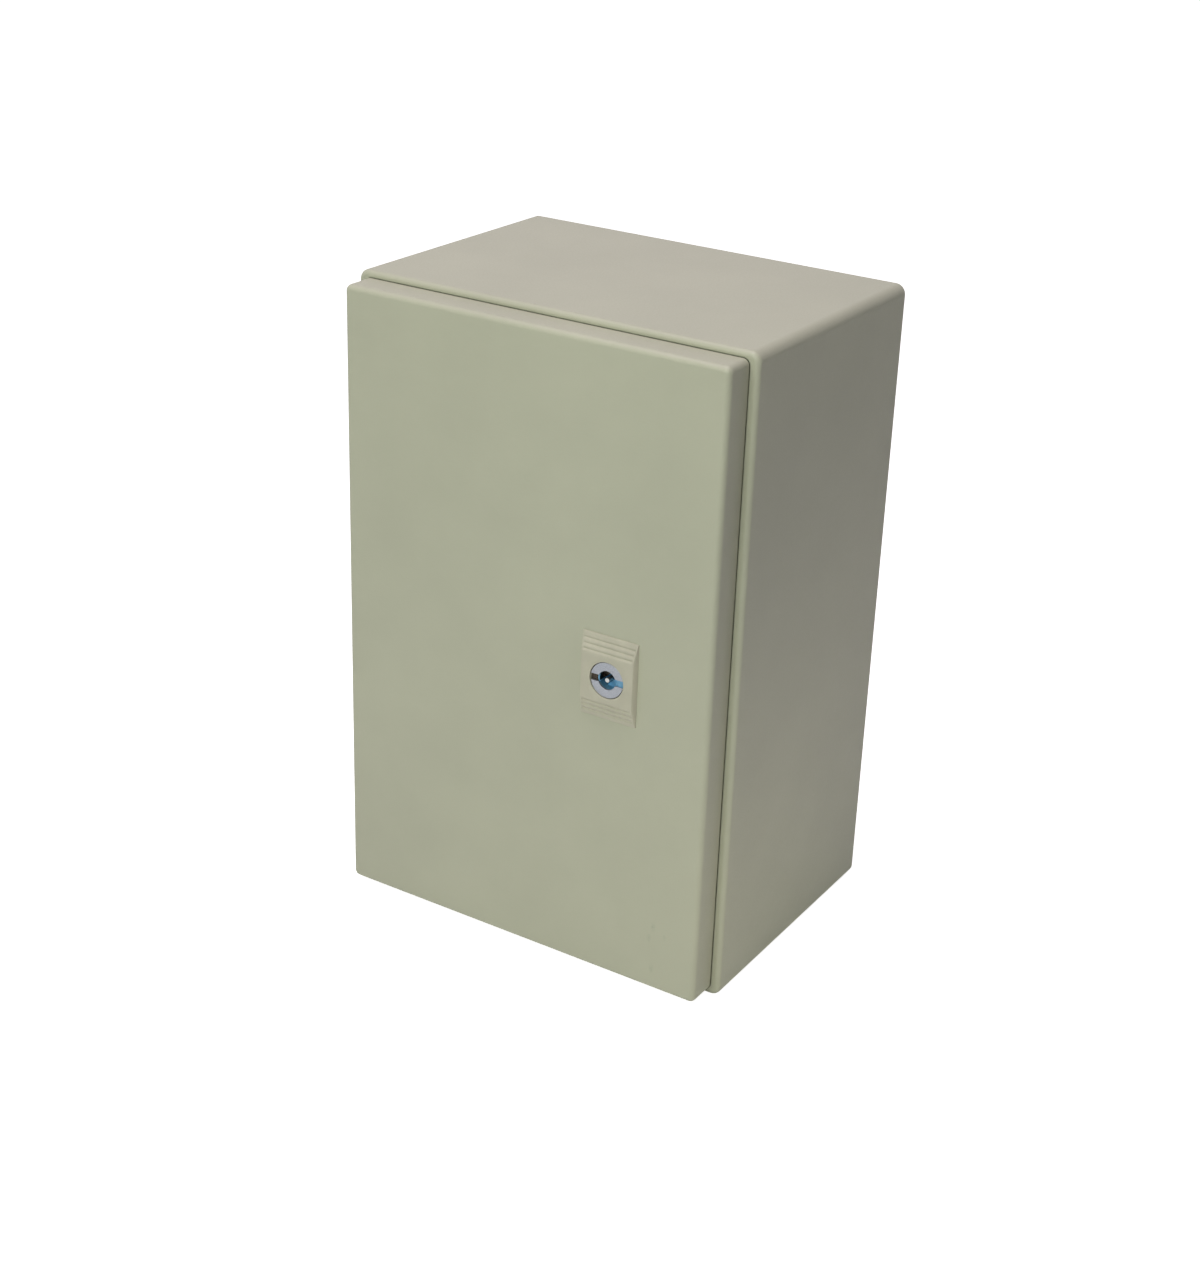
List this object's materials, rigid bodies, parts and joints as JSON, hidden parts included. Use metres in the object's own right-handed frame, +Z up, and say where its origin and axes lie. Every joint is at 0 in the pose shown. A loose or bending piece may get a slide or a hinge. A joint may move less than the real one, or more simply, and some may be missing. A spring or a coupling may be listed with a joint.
{
  "type": "steel wall enclosure",
  "caption": "Wall-mounting sheet-steel enclosure with a hinged door, a double-bit quarter-turn lock, a mounting plate inside and a gland plate in its floor.",
  "frame": {"origin": "middle of the four wall holes, on the back panel's wall face", "axes": "+X to the right seen from the front, +Y into the wall, +Z up"},
  "size_m": [0.3, 0.2275, 0.45],
  "materials": {
    "paint": "pebble-grey textured powder coat",
    "bright_steel": "zinc-plated fasteners",
    "galvanised": "galvanised sheet",
    "zinc": "zinc-plated pressed steel",
    "die_cast_zinc": "satin die-cast zinc",
    "blue_zinc": "blue-passivated zinc",
    "beige_plastic": "matt moulded plastic",
    "seal_foam": "foamed polyurethane"
  },
  "bodies": {
    "enclosure": {"body_wrap": "paint", "front_rim": "paint", "front_channel": "paint", "back_panel": "paint", "plate_studs": "bright_steel", "mounting_plate": "galvanised", "plate_washers": "bright_steel", "plate_nuts": "bright_steel", "body_earth_stud": "bright_steel", "body_earth_nuts": "bright_steel", "gland_studs": "bright_steel", "gland_seal": "seal_foam", "gland_plate": "paint", "gland_nuts": "bright_steel", "hinge_bracket_upper": "zinc", "hinge_bracket_lower": "zinc", "hinge_pin_upper": "bright_steel", "hinge_pin_lower": "bright_steel"},
    "door": {"door_panel": "paint", "door_seal": "seal_foam", "door_studs": "bright_steel", "hinge_leaf_upper": "zinc", "hinge_leaf_lower": "zinc", "hinge_leaf_nuts": "bright_steel", "door_earth_nuts": "bright_steel", "lock_bezel": "beige_plastic", "lock_barrel": "die_cast_zinc", "lock_seal": "seal_foam", "lock_nut": "bright_steel", "lock_circlip": "bright_steel"},
    "lock_insert": {"lock_rotor": "blue_zinc", "lock_cam": "galvanised", "cam_washer": "bright_steel", "cam_screw": "bright_steel"}
  },
  "joints": [
    {"name": "door_hinge", "type": "hinge", "parent": "enclosure", "child": "door", "pos_m": [-0.1365, -0.211, 0], "axis": [0, 0, -1], "range_deg": [0, 120]},
    {"name": "lock_turn", "type": "hinge", "parent": "door", "child": "lock_insert", "pos_m": [0.069, -0.2, -0.001], "axis": [0, -1, 0], "range_deg": [0, 90]}
  ]
}
